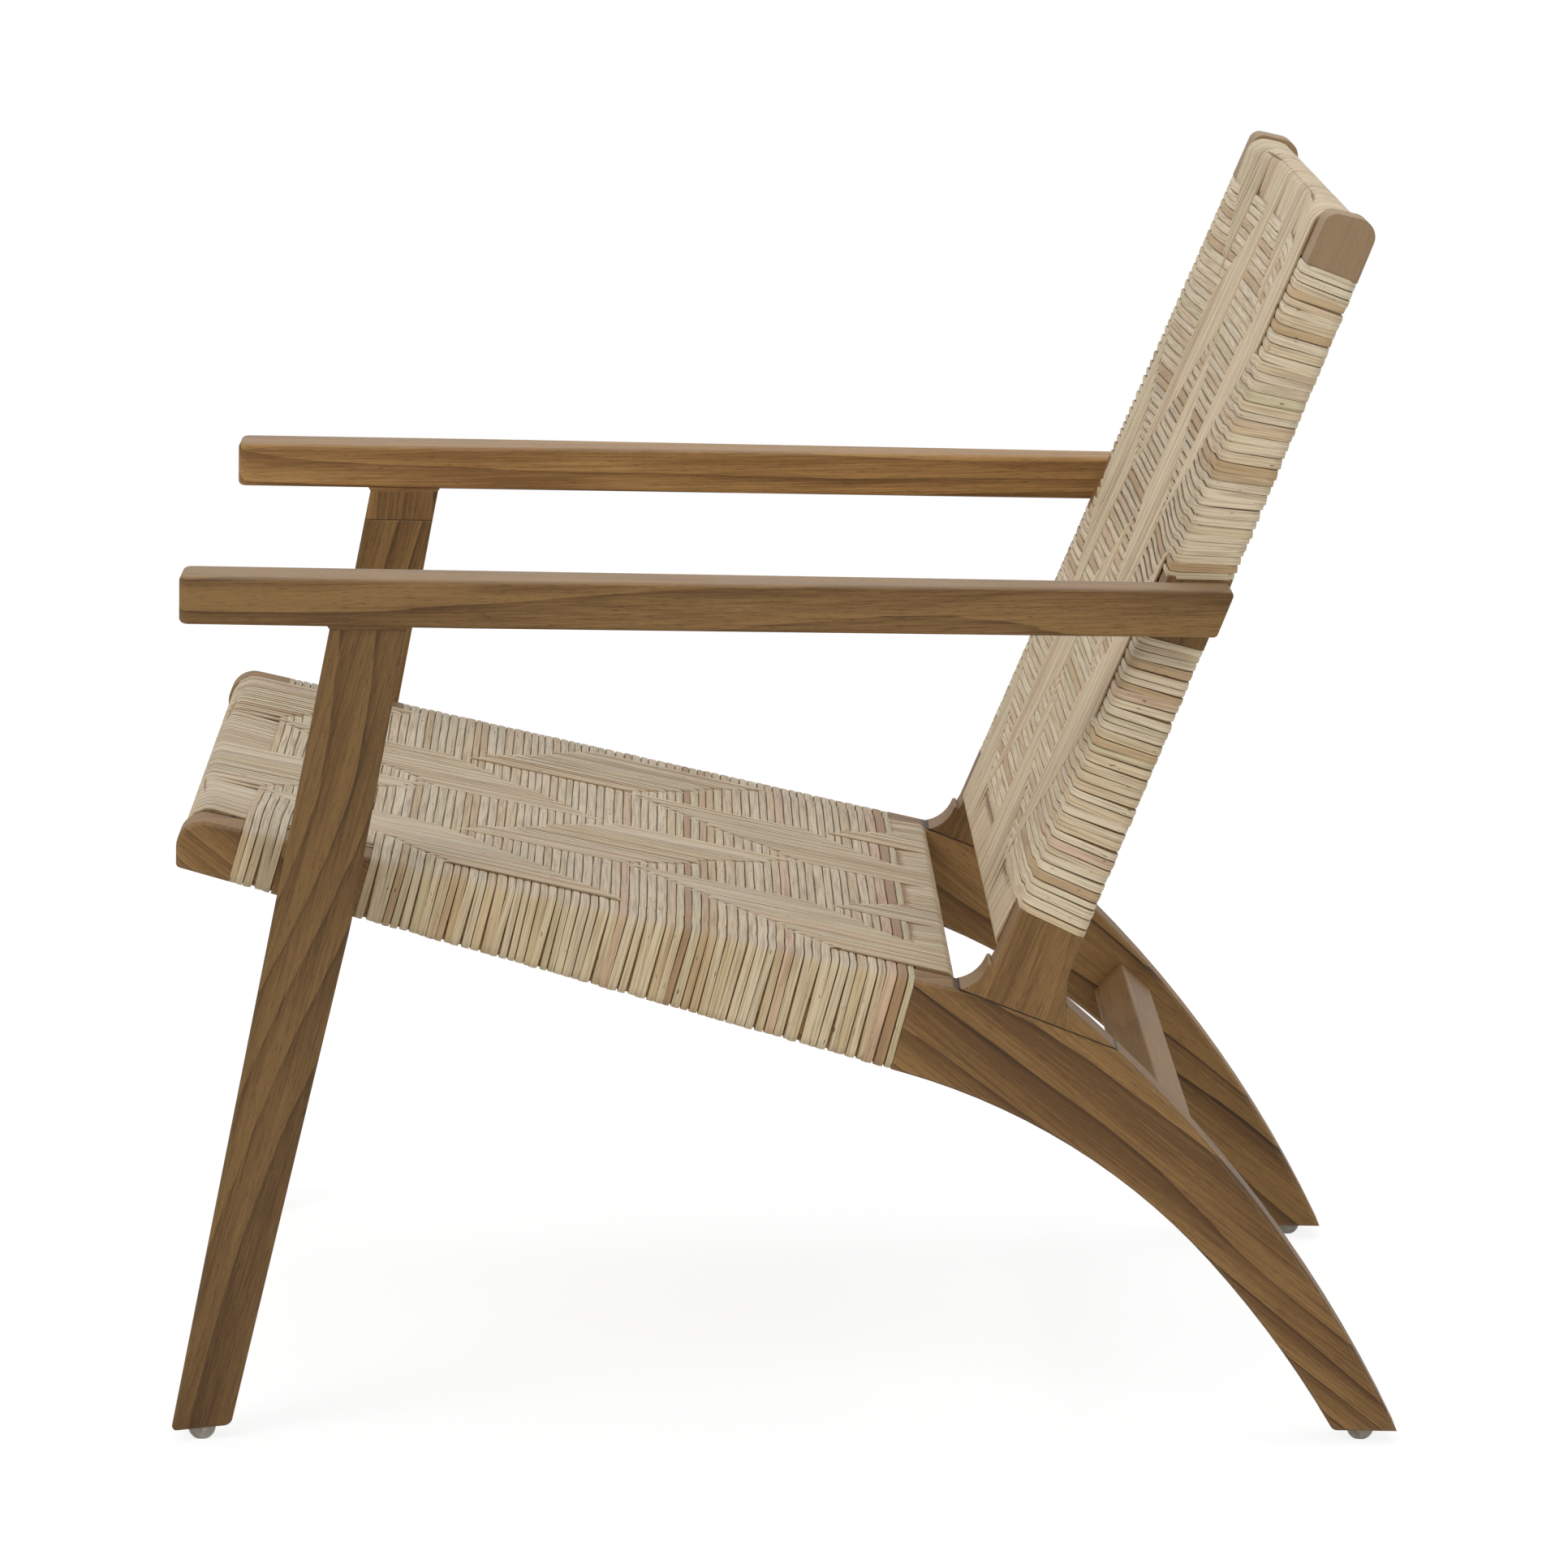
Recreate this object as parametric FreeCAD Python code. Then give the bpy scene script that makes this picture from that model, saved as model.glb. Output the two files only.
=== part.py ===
import FreeCAD, Part
import os
from math import atan, atan2, cos, degrees, hypot, radians, sin, sqrt, tan

# Lounge armchair in solid wood with a woven rattan seat and back.
# Millimetres. X is the width (+X is the sitter's left), -Y is the front, +Z is up.
# Profiles are drawn in the side view as (y, z) pairs and extruded across the chair.

# Overall sizes
half_width = 320.0
half_depth = 380.5
arm_top = 542.0
post_top = 768.0
foot_level = 8.5

# Side boards: seat rail and rear leg are one plank
board_outer = 278.0
board_thickness = 34.0
board_inner = board_outer - board_thickness
rail_top_slope = -0.2106
rail_tip_top = 387.7
rail_tip_radii = (16.0, 3.0)
rail_under_slope = -0.2734
rail_tip_under = 355.4
bend_start = 68.0
bend_end = (260.0, 116.1)
rear_edge_middle = (273.0, 172.6)
rear_foot_length = 40.0
board_chamfer = 1.8

# Back posts, given by the lines of their front and rear faces
post_front_foot = (123.5, 303.0)
post_front_slope = 2.46
post_rear_foot = (171.8, 307.3)
post_rear_slope = 2.626
cap_slope = -0.21
cap_middle_y = 317.5
cap_radii = (7.5, 11.0)
housing_front_y = 101.0
housing_rear = (166.9, 261.7)
nook = (167.3, 277.5)

# Front legs
leg_inner = board_outer
leg_outer = 315.0
leg_front_line = (-287.3, 502.8, 0.1876)
leg_rear_line = (-240.9, 503.5, 0.1767)
leg_knee_z = 323.0
leg_lower_rake = 0.2264
facet_depth = 17.0
leg_arris = 2.6
cheek_thickness = 11.0
cheek_bottom = 490.0

# Arms
arm_thickness = 29.5
arm_inner_front = 275.0
arm_outer_rear = 309.0
arm_front_y = -376.5
arm_taper_start_y = -200.0
arm_inner_turn_y = 190.0
arm_corner = 6.0
arm_arris = 3.4
boss_height = 2.2
boss_flare = 2.0

# Cross rails, stretcher and their joints
seat_rail_depth = 26.0
front_rail_height = 27.0
rear_rail_height = 30.0
seat_core_radii = (7.0, 5.0, 5.0, 13.0)
back_bottom_rail_height = 29.0
back_top_rail_height = 32.0
back_crown_rise = 4.0
back_core_radii = (5.0, 5.0, 12.0, 10.0)
front_setback = 3.0
rail_hollow = 8.0
rail_hollow_flat = 100.0
rail_hollow_end = 225.0
seat_rear_y = 99.5
back_bottom = (125.0, 307.0)
cap_stand_proud = 3.4
stretcher_side = 28.0
stretcher_centre = (237.7, 174.8)
stretcher_tilt = -42.0
stretcher_arris = 1.5
tenon_thickness = 12.0
tenon_width = 18.0
tenon_length = 20.0
foot_tenon = (34.0, 27.0)
stretcher_tenon = 16.0

# Loose tenons under the arms, and the screws that join boards and front legs
loose_tenon = (36.0, 12.0)
leg_tenon_width = 28.0
post_tenon_width = 24.0
screw_centres = ((-304.0, 357.0), (-280.0, 352.0))
screw_diameter = 6.0
screw_length = 54.0
screw_head = (11.0, 4.5)

# Floor glides
glide_diameter = 17.0
glide_flat = 9.0
glide_nail_side = 3.0
glide_nail_length = 16.0
front_glide = (296.0, -362.0)
rear_glide = (261.0, 359.0)

# Rattan strands and the shallow rebates that they lie in
strand = 1.6
rebate = 0.8
wrap_radius = 5.5
warp_half_width = board_inner - 1.0

# Woven stretches of the frame, as lines across the member: (front y, z), (rear y, z)
front_wrap_top = (-340.0, -314.0)
seat_wrap_top = (-261.5, 74.0)
wrap_tilt = 14.0
lower_back_wrap = (((133.0, 339.0), (176.5, 319.5)), ((202.0, 510.0), (245.0, 499.5)))
upper_back_wrap = (((219.0, 546.0), (264.0, 543.0)), ((299.5, 738.0), (331.6, 725.6)))


def vec(y, z, x=0.0):
    return FreeCAD.Vector(x, y, z)


def rail_top(y):
    return rail_tip_top + rail_top_slope * (y + half_depth)


def rail_under(y):
    return rail_tip_under + rail_under_slope * (y + half_depth)


def post_front(z):
    return post_front_foot[0] + (z - post_front_foot[1]) / post_front_slope


def post_rear(z):
    return post_rear_foot[0] + (z - post_rear_foot[1]) / post_rear_slope


def leg_front(z):
    y, at_z, rake = leg_front_line
    return y + (z - at_z) * rake


def leg_rear(z):
    y, at_z, rake = leg_rear_line
    upper = y + (max(z, leg_knee_z) - at_z) * rake
    return upper + min(z - leg_knee_z, 0.0) * leg_lower_rake


def polyline(points):
    ends = [vec(*p) for p in points]
    return [Part.LineSegment(a, b).toShape() for a, b in zip(ends, ends[1:])]


def arc_through(start, middle_point, end):
    return Part.Arc(vec(*start), vec(*middle_point), vec(*end)).toShape()


def arc_from(start, heading, end):
    """Clockwise arc that leaves the start along a unit heading, and its heading at the end."""
    dy, dz = end[0] - start[0], end[1] - start[1]
    normal = (heading[1], -heading[0])
    radius = (dy * dy + dz * dz) / (2 * (normal[0] * dy + normal[1] * dz))
    centre = (start[0] + normal[0] * radius, start[1] + normal[1] * radius)
    half = (start[0] + dy / 2 - centre[0], start[1] + dz / 2 - centre[1])
    stretch = radius / hypot(*half)
    crest = (centre[0] + half[0] * stretch, centre[1] + half[1] * stretch)
    leaving = ((end[1] - centre[1]) / radius, (centre[0] - end[0]) / radius)
    return arc_through(start, crest, end), leaving


def across(edges, x0, x1):
    """Face made of side-view edges, extruded across the chair."""
    face = Part.Face(Part.Wire(Part.__sortEdges__(edges)))
    face.translate(FreeCAD.Vector(x0, 0, 0))
    return face.extrude(FreeCAD.Vector(x1 - x0, 0, 0))


def prism(points, x0, x1):
    return across(polyline(list(points) + [points[0]]), x0, x1)


def tilted_box(centre, along, up, slope, x0, x1):
    """Box about (y, z) whose first side rises at the slope, in degrees, towards the rear."""
    box = Part.makeBox(x1 - x0, along, up)
    box.translate(FreeCAD.Vector(x0, -along / 2, -up / 2))
    box.rotate(FreeCAD.Vector(), FreeCAD.Vector(1, 0, 0), slope)
    box.translate(vec(*centre))
    return box


def round_corners(solid, corners):
    """Fillet the edges that run across the chair at the given (y, z, radius) corners."""
    for y, z, radius in corners:
        crossing = [e for e in solid.Edges if abs(e.tangentAt(e.FirstParameter).x) > 0.99]
        nearest = min(crossing, key=lambda e: hypot(e.CenterOfMass.y - y, e.CenterOfMass.z - z))
        solid = solid.makeFillet(radius, [nearest])
    return solid


def soften(solid, radius, wanted):
    """Round the arrises whose bounding box passes the test."""
    return solid.makeFillet(radius, [e for e in solid.Edges if wanted(e.BoundBox)])


def in_x_plane(box, *planes):
    return any(abs(box.XMin - x) < 0.01 and abs(box.XMax - x) < 0.01 for x in planes)


def offset_outline(points, distance):
    """Move every side of a convex outline outwards."""
    count = len(points)
    pairs = [(points[i], points[(i + 1) % count]) for i in range(count)]
    turn = sum(a[0] * b[1] - b[0] * a[1] for a, b in pairs)
    sign = 1 if turn > 0 else -1
    lines = []
    for (y0, z0), (y1, z1) in pairs:
        length = hypot(y1 - y0, z1 - z0)
        normal = (sign * (z1 - z0) / length, sign * (y0 - y1) / length)
        lines.append((*normal, normal[0] * y0 + normal[1] * z0 + distance))
    moved = []
    for i in range(count):
        a1, b1, c1 = lines[i - 1]
        a2, b2, c2 = lines[i]
        det = a1 * b2 - a2 * b1
        moved.append(((c1 * b2 - c2 * b1) / det, (a1 * c2 - a2 * c1) / det))
    return moved


def rounded_prism(points, radii, grow, x0, x1):
    """Prism on an outline moved outwards by grow, its corners rounded to suit."""
    outline = offset_outline(points, grow)
    solid = prism(outline, x0, x1)
    corners = [(y, z, r + grow) for (y, z), r in zip(outline, radii) if r]
    return round_corners(solid, corners)


def mirrored(shape):
    return shape.mirror(FreeCAD.Vector(), FreeCAD.Vector(1, 0, 0))


def both(*shapes):
    return Part.makeCompound([s for shape in shapes for s in (shape, mirrored(shape))])


def rod(y, z, x0, x1, diameter):
    return Part.makeCylinder(diameter / 2, x1 - x0, FreeCAD.Vector(x0, y, z), FreeCAD.Vector(1, 0, 0))


def upright(x, y, z0, z1, diameter):
    return Part.makeCylinder(diameter / 2, z1 - z0, FreeCAD.Vector(x, y, z0))


# Angles of the two woven planes
seat_slope = degrees(atan(rail_top_slope))
back_slope = degrees(atan((post_front_slope + post_rear_slope) / 2))


def wrap_zone(lines, reach=60.0):
    """Outline of a woven stretch, reaching past both faces of its member."""
    outline = []
    for turn, (front, rear) in zip((1, -1), lines):
        length = hypot(rear[0] - front[0], rear[1] - front[1])
        step = ((rear[0] - front[0]) / length * reach, (rear[1] - front[1]) / length * reach)
        ends = [(front[0] - step[0], front[1] - step[1]), (rear[0] + step[0], rear[1] + step[1])]
        outline += ends[::turn]
    return outline


def crown(offset=0.0):
    """Line along the top of the back, lowered by the offset."""
    return [(y, post_top + cap_slope * (y - cap_middle_y) - offset) for y in (250.0, 400.0)]


def rail_line(y):
    """Line square across the seat rail through its top edge, as (under, top) points."""
    drop = rail_top(y) - rail_under(y)
    return ((y, rail_top(y)), (y - drop * tan(radians(wrap_tilt)), rail_under(y)))


seat_zones = [(rail_line(y0), rail_line(y1)) for y0, y1 in (front_wrap_top, seat_wrap_top)]
back_zones = [lower_back_wrap, upper_back_wrap]


def seat_band(grow):
    """Rail outline between the strands, for both side boards together."""
    front, rear = -half_depth - 20, 140.0
    outline = [(front, rail_under(front)), (rear, rail_under(rear)), (rear, rail_top(rear)),
               (front, rail_top(front))]
    reach = board_outer + grow
    band = prism(offset_outline(outline, grow), -reach, reach)
    long_edges = lambda b: in_x_plane(b, -reach, reach) and b.YLength > 200
    return soften(band, wrap_radius + rebate + grow, long_edges)


def back_band(grow):
    """Post outline between the strands, for both posts together."""
    low, high = 280.0, 780.0
    outline = [(post_front(low), low), (post_rear(low), low), (post_rear(high), high),
               (post_front(high), high)]
    reach = board_outer + grow
    band = prism(offset_outline(outline, grow), -reach, reach)
    long_edges = lambda b: in_x_plane(b, -reach, reach) and b.ZLength > 200
    return soften(band, wrap_radius + rebate + grow, long_edges)


def cut_rebates(member, band, zones):
    for zone in zones:
        collar = prism(wrap_zone(zone), board_inner - 5, board_outer + 5).cut(band)
        member = member.cut(collar)
    return member


def seat_core():
    """Solid that the seat warps pass round: the front and rear seat rails are its two ends."""
    front = -half_depth + front_setback + strand
    rear = seat_rear_y - strand
    lift = (strand - rebate) * hypot(1, rail_top_slope)
    front_top, rear_top = rail_top(front) + lift, rail_top(rear) + lift
    outline = [(front, front_top - front_rail_height), (rear, rear_top - rear_rail_height),
               (rear, rear_top), (front, front_top)]
    return outline, seat_core_radii


def back_core():
    """Solid that the back warps pass round: the back rails are its two ends."""
    lean = radians(back_slope)
    front_shift = (strand - rebate) * hypot(1, 1 / post_front_slope)
    rear_shift = (strand + rebate) * hypot(1, 1 / post_rear_slope)
    low, high = 280.0, 780.0
    bottom = [(back_bottom[0] + s * sin(lean), back_bottom[1] - s * cos(lean)) for s in (-60, 60)]
    top = crown(cap_stand_proud)
    front = [(post_front(z) - front_shift, z) for z in (low, high)]
    rear = [(post_rear(z) - rear_shift, z) for z in (low, high)]
    return [meet(bottom, front), meet(bottom, rear), meet(top, rear), meet(top, front)], back_core_radii


def meet(first, second):
    (y1, z1), (y2, z2) = first
    (y3, z3), (y4, z4) = second
    share = ((y3 - y1) * (z4 - z3) - (z3 - z1) * (y4 - y3)) / ((y2 - y1) * (z4 - z3) - (z2 - z1) * (y4 - y3))
    return (y1 + share * (y2 - y1), z1 + share * (z2 - z1))


def middle(points):
    return (sum(p[0] for p in points) / len(points), sum(p[1] for p in points) / len(points))


def rail_end(core, centre, along, slope):
    """The end of a warp core that stays as a rail, between the two sides."""
    solid = rounded_prism(*core, 0.0, -board_inner, board_inner)
    return solid.common(tilted_box(centre, along, 80.0, slope, -board_inner, board_inner))


def hollow(start, heading, inward):
    """Block that hollows a rail between its ends, run along the face that starts at (y, z)."""
    outline = [(-rail_hollow_end, 0.0), (-rail_hollow_flat, rail_hollow), (rail_hollow_flat, rail_hollow),
               (rail_hollow_end, 0.0), (rail_hollow_end, -30.0), (-rail_hollow_end, -30.0)]
    points = [vec(start[0] + inward[0] * depth, start[1] + inward[1] * depth, x) for x, depth in outline]
    return Part.Face(Part.makePolygon(points + [points[0]])).extrude(vec(*heading) * 80.0)


def tenons(centre, slope):
    """Pair of stub tenons that run from a rail into the side members."""
    reach = board_inner + tenon_length
    return [tilted_box(centre, tenon_width, tenon_thickness, slope, *span)
            for span in ((board_inner, reach), (-reach, -board_inner))]


def side_board():
    """Seat rail and curved rear leg, with the housing for the back post."""
    front = -half_depth
    heel = (half_depth, foot_level)
    toe = (half_depth - rear_foot_length, foot_level)
    bend = (bend_start, rail_under(bend_start))
    edges = polyline([bend, (front, rail_tip_under), (front, rail_tip_top),
                      (housing_front_y, rail_top(housing_front_y)), housing_rear, nook])
    edges.append(arc_through(nook, rear_edge_middle, heel))
    edges += polyline([heel, toe])
    steepness = hypot(1, rail_under_slope)
    bend_arc, heading = arc_from(bend, (1 / steepness, rail_under_slope / steepness), bend_end)
    edges += [bend_arc, arc_from(bend_end, heading, toe)[0]]
    board = across(edges, board_inner, board_outer)
    over, under = rail_tip_radii
    board = round_corners(board, [(front, rail_tip_top, over), (front, rail_tip_under, under), (*toe, 5.0)])

    def long_arris(box):
        at_post = box.YMin > housing_front_y - 1 and box.YMax < nook[0] + 1
        return in_x_plane(box, board_inner, board_outer) and not at_post
    return board.makeChamfer(board_chamfer, [e for e in board.Edges if long_arris(e.BoundBox)])


def back_post():
    """Leaning post: flared foot with a lip, straight blade and rounded bare cap."""
    foot_toe = (housing_front_y, rail_top(housing_front_y))
    lip_start, lip_end = (118.4, 300.6), (121.6, 300.2)
    front_line = [(post_front(z), z) for z in (305.0, 760.0)]
    rear_line = [(post_rear(z), z) for z in (post_rear_foot[1], 760.0)]
    top_front, top_rear = meet(crown(), front_line), meet(crown(), rear_line)
    edges = [arc_through(foot_toe, (111.8, 291.4), lip_start),
             arc_through(lip_start, (120.4, 302.0), lip_end)]
    edges += polyline([lip_end, front_line[0], top_front, top_rear, rear_line[0],
                       (nook[0], 293.0), housing_rear, foot_toe])
    post = across(edges, board_inner, board_outer)
    return round_corners(post, [(*top_front, cap_radii[0]), (*top_rear, cap_radii[1])])


def foot_tenon_solid():
    """Tenon under the post's foot, square to the housing in the side board."""
    foot = (housing_front_y, rail_top(housing_front_y))
    slope = atan2(housing_rear[1] - foot[1], housing_rear[0] - foot[0])
    centre_y, centre_z = middle([foot, housing_rear])
    length, depth = foot_tenon
    down = (depth - 2) / 2
    centre = (centre_y + down * sin(slope), centre_z - down * cos(slope))
    x = (board_inner + board_outer - tenon_thickness) / 2
    return tilted_box(centre, length, depth + 2, degrees(slope), x, x + tenon_thickness)


def front_leg():
    """Raked leg, tapered below the seat, with a facet that runs out from the outer face."""
    top = arm_top - arm_thickness - boss_height
    levels = (foot_level, top)
    outline = [(leg_front(levels[0]), levels[0]), (leg_front(levels[1]), levels[1]),
               (leg_rear(levels[1]), levels[1]), (leg_rear(leg_knee_z), leg_knee_z),
               (leg_rear(levels[0]), levels[0])]
    leg = prism(outline, leg_inner, leg_outer)
    leg = round_corners(leg, [(*outline[0], 3.0), (*outline[4], 5.0)])
    leg = soften(leg, leg_arris, lambda b: in_x_plane(b, leg_inner, leg_outer) and b.ZLength > 100)
    start = FreeCAD.Vector(leg_outer, leg_rear(leg_knee_z), leg_knee_z + 4)
    run_out = FreeCAD.Vector(leg_outer, leg_front(24.0), 24.0)
    deep = FreeCAD.Vector(leg_outer - facet_depth, leg_rear(foot_level), foot_level)
    return leg.cut(half_space(start, run_out, deep))


def half_space(a, b, c):
    """Large block on the outer side of the plane through three points."""
    normal = (b - a).cross(c - a).normalize()
    if normal.x < 0:
        normal = normal * -1
    along = (b - a).normalize()
    side = normal.cross(along)
    size = 600.0
    corners = [a + along * (p * size) + side * (q * size) for p, q in ((-1, -1), (2, -1), (2, 1), (-1, 1))]
    face = Part.Face(Part.makePolygon(corners + [corners[0]]))
    return face.extrude(normal * 200.0)


def arm():
    """Level arm, tapered in plan, its rear end cut to the slope of the back post."""
    bottom = arm_top - arm_thickness
    rear = post_rear(arm_top)

    def plan(x, y):
        return FreeCAD.Vector(x, y, bottom)
    corners = [plan(arm_outer_rear, rear + 5), plan(board_outer, rear + 5), plan(board_outer, arm_inner_turn_y),
               plan(arm_inner_front, arm_front_y), plan(half_width, arm_front_y),
               plan(half_width, arm_taper_start_y)]
    outline = Part.makePolygon(corners + [corners[0]])
    solid = Part.Face(outline).extrude(FreeCAD.Vector(0, 0, arm_thickness))
    low, high = bottom - 5, arm_top + 5
    behind = prism([(post_rear(low), low), (post_rear(high), high), (rear + 80, high), (rear + 80, low)],
                   board_outer - 20, half_width + 20)
    solid = solid.cut(behind)
    ends = lambda b: b.ZLength > arm_thickness - 1 and b.YMin < arm_front_y + 1
    solid = soften(solid, arm_corner, ends)
    flat = lambda b: b.ZLength < 0.01 and not (in_x_plane(b, board_outer) and b.ZMin > bottom - 1)
    solid = soften(solid, arm_arris, flat)
    return solid.fuse(arm_boss()).removeSplitter()


def arm_boss():
    """Shallow swelling under the arm that runs out onto the top of the leg."""
    bottom = arm_top - arm_thickness
    low = bottom - boss_height

    def ring(z, grow):
        y0, y1 = leg_front(low) - grow, leg_rear(low) + grow
        x0, x1 = leg_inner, leg_outer + grow
        points = [FreeCAD.Vector(x, y, z) for x, y in ((x0, y0), (x1, y0), (x1, y1), (x0, y1), (x0, y0))]
        return Part.makePolygon(points)
    return Part.makeLoft([ring(low, 0.0), ring(bottom + 1, boss_flare)], True)


def glide(x, y):
    """Domed plastic glide with a small flat to stand on and a cut nail into the wood."""
    radius, flat = glide_diameter / 2, glide_flat / 2
    dome_centre = (radius ** 2 - flat ** 2 + foot_level ** 2) / (2 * foot_level)
    dome = Part.makeSphere(hypot(flat, dome_centre), FreeCAD.Vector(x, y, dome_centre))
    side = glide_nail_side
    nail = Part.makeBox(side, side, glide_nail_length, FreeCAD.Vector(x - side / 2, y - side / 2, foot_level))
    return dome.common(upright(x, y, 0.0, foot_level, glide_diameter)).fuse(nail).removeSplitter()


def weft_sleeve(bands, zones):
    """Rattan wound round both side members, and only between them where the wraps stop."""
    outer, inner = bands
    reach = board_outer + 10
    wound = [prism(wrap_zone(zone), -reach, reach) for zone in zones]
    field = prism(wrap_zone((zones[0][0], zones[-1][1])), -board_inner, board_inner)
    return outer.cut(inner).common(field.fuse(wound)).removeSplitter()


def warp_sleeve(core):
    span = (-warp_half_width, warp_half_width)
    return rounded_prism(*core, strand, *span).cut(rounded_prism(*core, 0.0, *span))


def cross_rails(seat, back):
    """The four rails between the sides, each with the pair of tenons that holds it."""
    front_low, rear_low, rear_high, front_high = seat[0]
    step = seat_rail_depth / 2
    front_y, front_z = middle([front_low, front_high])
    rear_y, rear_z = middle([rear_low, rear_high])
    front_centre = (front_y + step, front_z + rail_top_slope * step)
    rear_centre = (rear_y - step, rear_z - rail_top_slope * step)
    lean = radians(back_slope)
    bottom_y, bottom_z = middle(back[0][:2])
    top_y, top_z = middle(back[0][2:])
    up = back_bottom_rail_height / 2
    down = (back_top_rail_height - back_crown_rise) / 2
    bottom_centre = (bottom_y + up * cos(lean), bottom_z + up * sin(lean))
    top_centre = (top_y - down * cos(lean), top_z - down * sin(lean))

    places = {
        "front_seat_rail": (seat, front_centre, seat_rail_depth, seat_slope),
        "rear_seat_rail": (seat, rear_centre, seat_rail_depth, seat_slope),
        "back_bottom_rail": (back, bottom_centre, back_bottom_rail_height, back_slope),
        "back_top_rail": (back, top_centre, back_top_rail_height + back_crown_rise, back_slope),
    }
    rails, joints = {}, {}
    for name, (core, centre, along, slope) in places.items():
        joints[name] = tenons(centre, slope)
        rails[name] = rail_end(core, centre, along, slope)
    rails["front_seat_rail"] = rails["front_seat_rail"].cut(hollow(front_high, (1, rail_top_slope), (0, -1)))
    top_front = back[0][3]
    rails["back_top_rail"] = rails["back_top_rail"].cut(hollow(top_front, (-1 / post_front_slope, -1), (1, 0)))
    for name, pair in joints.items():
        rails[name] = rails[name].fuse(pair).removeSplitter()
    return rails, joints


def rear_stretcher():
    """Square bar set on edge between the rear legs, with a square tenon at each end."""
    bar = tilted_box(stretcher_centre, stretcher_side, stretcher_side, stretcher_tilt,
                     -board_inner, board_inner)
    bar = soften(bar, stretcher_arris, lambda b: b.XLength > board_inner)
    reach = board_inner + tenon_length
    ends = [tilted_box(stretcher_centre, stretcher_tenon, stretcher_tenon, stretcher_tilt, *span)
            for span in ((board_inner, reach), (-reach, -board_inner))]
    return bar.fuse(ends).removeSplitter(), ends[0]


def loose_tenons():
    """Upright tenon from leg to arm, and level tenon from back post to arm."""
    length, thickness = loose_tenon
    under = arm_top - arm_thickness
    leg_y = (leg_front(under) + leg_rear(under)) / 2
    leg_x = (leg_inner + cheek_thickness + leg_outer) / 2
    into_leg = Part.makeBox(thickness, leg_tenon_width, length,
                            FreeCAD.Vector(leg_x - thickness / 2, leg_y - leg_tenon_width / 2, under - length / 2))
    middle_z = arm_top - arm_thickness / 2
    post_y = (post_front(middle_z) + post_rear(middle_z)) / 2
    into_post = tilted_box((post_y, middle_z), post_tenon_width, thickness, 0.0,
                           board_outer - length / 2, board_outer + length / 2)
    return into_leg, into_post


def leg_screws():
    """Two hexagon-headed screws a side, from inside the seat rail into the front leg."""
    screws = []
    for y, z in screw_centres:
        shank = rod(y, z, board_inner, board_inner + screw_length, screw_diameter)
        head_width, head_height = screw_head
        corners = [vec(y + head_width / sqrt(3) * cos(radians(turn)), z + head_width / sqrt(3) * sin(radians(turn)),
                       board_inner - head_height) for turn in range(0, 361, 60)]
        head = Part.Face(Part.makePolygon(corners)).extrude(FreeCAD.Vector(head_height, 0, 0))
        screws.append(shank.fuse(head).removeSplitter())
    return screws


def drilled(solid, *tools):
    for tool in tools:
        solid = solid.cut(tool)
    return solid


def build():
    seat, back = seat_core(), back_core()
    pieces, joints = cross_rails(seat, back)
    pieces["rear_stretcher"], stretcher_end = rear_stretcher()
    into_leg, into_post = loose_tenons()
    screws = leg_screws()
    foot = foot_tenon_solid()

    board = cut_rebates(side_board(), seat_band(-rebate), seat_zones)
    board = drilled(board, foot, stretcher_end, joints["front_seat_rail"][0], joints["rear_seat_rail"][0],
                    glide(*rear_glide), *screws)
    post = cut_rebates(back_post(), back_band(-rebate), back_zones).fuse(foot).removeSplitter()
    post = drilled(post, joints["back_bottom_rail"][0], joints["back_top_rail"][0], into_post)
    leg = front_leg()
    cheek_room = prism([(-340, cheek_bottom), (-200, cheek_bottom), (-200, arm_top), (-340, arm_top)],
                       leg_inner, leg_inner + cheek_thickness)
    sides = {
        "side_board": board,
        "back_post": post,
        "front_leg": drilled(leg, cheek_room, into_leg, *screws, glide(*front_glide)),
        "leg_cheek": leg.common(cheek_room),
        "arm": drilled(arm(), into_leg, into_post),
    }
    for name, shape in sides.items():
        pieces["left_" + name] = shape
        pieces["right_" + name] = mirrored(shape)

    pieces["arm_leg_tenons"] = both(into_leg)
    pieces["arm_post_tenons"] = both(into_post)
    pieces["leg_screws"] = both(*screws)
    pieces["front_glides"] = both(glide(*front_glide))
    pieces["rear_glides"] = both(glide(*rear_glide))

    lift = strand - rebate
    pieces["seat_wefts"] = weft_sleeve((seat_band(lift), seat_band(-rebate)), seat_zones)
    pieces["back_wefts"] = weft_sleeve((back_band(lift), back_band(-rebate)), back_zones)
    pieces["seat_warps"] = warp_sleeve(seat)
    pieces["back_warps"] = warp_sleeve(back)
    return pieces


os.makedirs("parts", exist_ok=True)
for name, shape in build().items():
    shape.exportStep("parts/" + name + ".step")
    print(name, len(shape.Solids), "solids", len(shape.Faces), "faces", round(shape.Volume / 1000), "cm3",
          "valid" if shape.isValid() else "not valid")
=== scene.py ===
import random
from math import atan2, cos, hypot, pi, radians, sin, tan

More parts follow.
